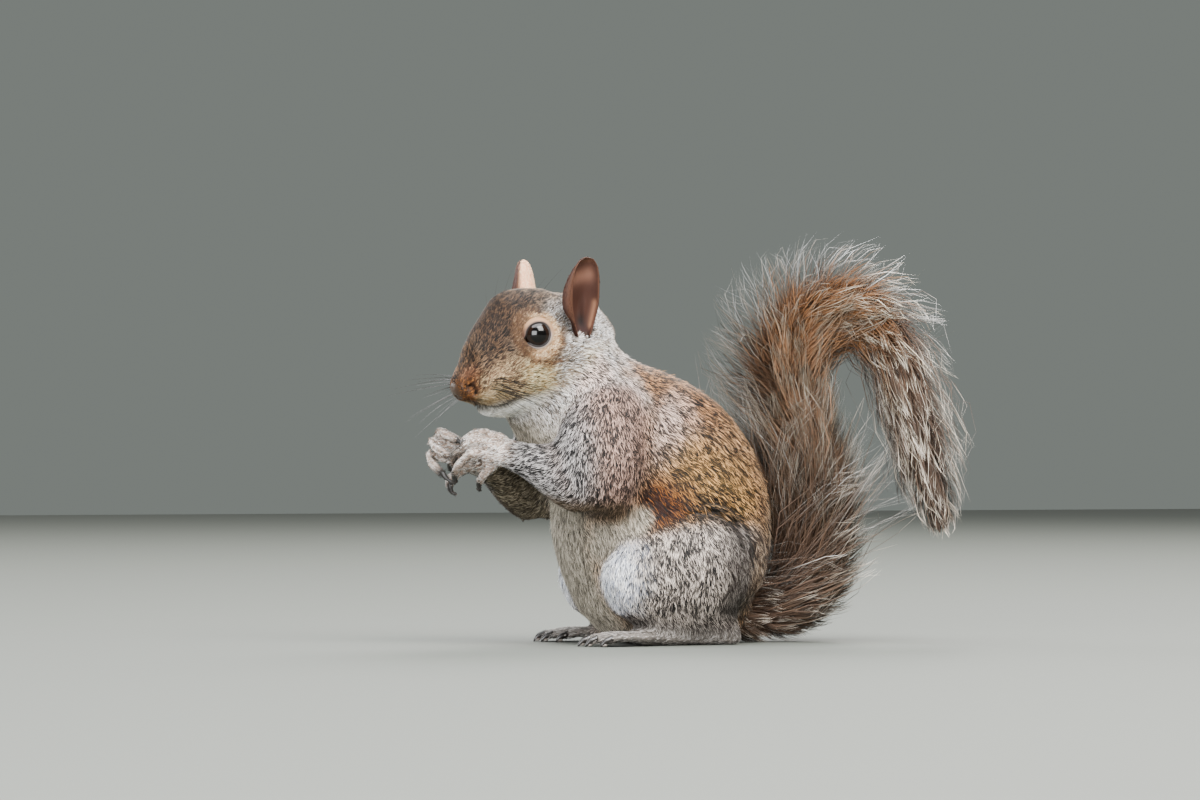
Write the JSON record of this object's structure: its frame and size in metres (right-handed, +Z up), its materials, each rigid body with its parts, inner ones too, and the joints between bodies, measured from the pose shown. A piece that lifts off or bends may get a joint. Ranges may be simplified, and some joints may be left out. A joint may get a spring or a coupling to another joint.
{
  "type": "eastern grey squirrel",
  "caption": "Life-size grey squirrel sitting up on its haunches, forepaws held together before its chest and its bushy tail hooked over behind its back.",
  "frame": {"origin": "bottom centre of the whole animal's box, on the floor it sits on", "axes": "+Z up, the body faces -Y with its tail at +Y, and +X is the animal's own left side"},
  "size_m": [0.089, 0.2122, 0.1645],
  "materials": {
    "fur_brown": "short dense grey-brown fur, matte",
    "fur_grey": "short dense grey fur ticked with black, matte",
    "fur_white": "very short whitish fur, matte",
    "fur_tail": "long loose hair, brown and black with white tips",
    "ear": "thin ear skin with fine down",
    "eye": "wet, almost black eyeball",
    "claw": "dark horn claws",
    "whisker": "stiff black whiskers"
  },
  "bodies": {
    "root": {"trunk": "fur_brown", "neck": "fur_grey", "head": "fur_grey", "ear_left": "ear", "eye_left": "eye", "upper_arm_left": "fur_grey", "forearm_left": "fur_grey", "hand_left": "fur_white", "thigh_left": "fur_grey", "lower_leg_left": "fur_grey", "hind_foot_left": "fur_white", "ear_right": "ear", "eye_right": "eye", "upper_arm_right": "fur_grey", "forearm_right": "fur_grey", "hand_right": "fur_white", "thigh_right": "fur_grey", "lower_leg_right": "fur_grey", "hind_foot_right": "fur_white", "tail_1": "fur_tail", "tail_2": "fur_tail", "tail_3": "fur_tail", "tail_4": "fur_tail", "tail_5": "fur_tail", "tail_6": "fur_tail"}
  },
  "joints": []
}
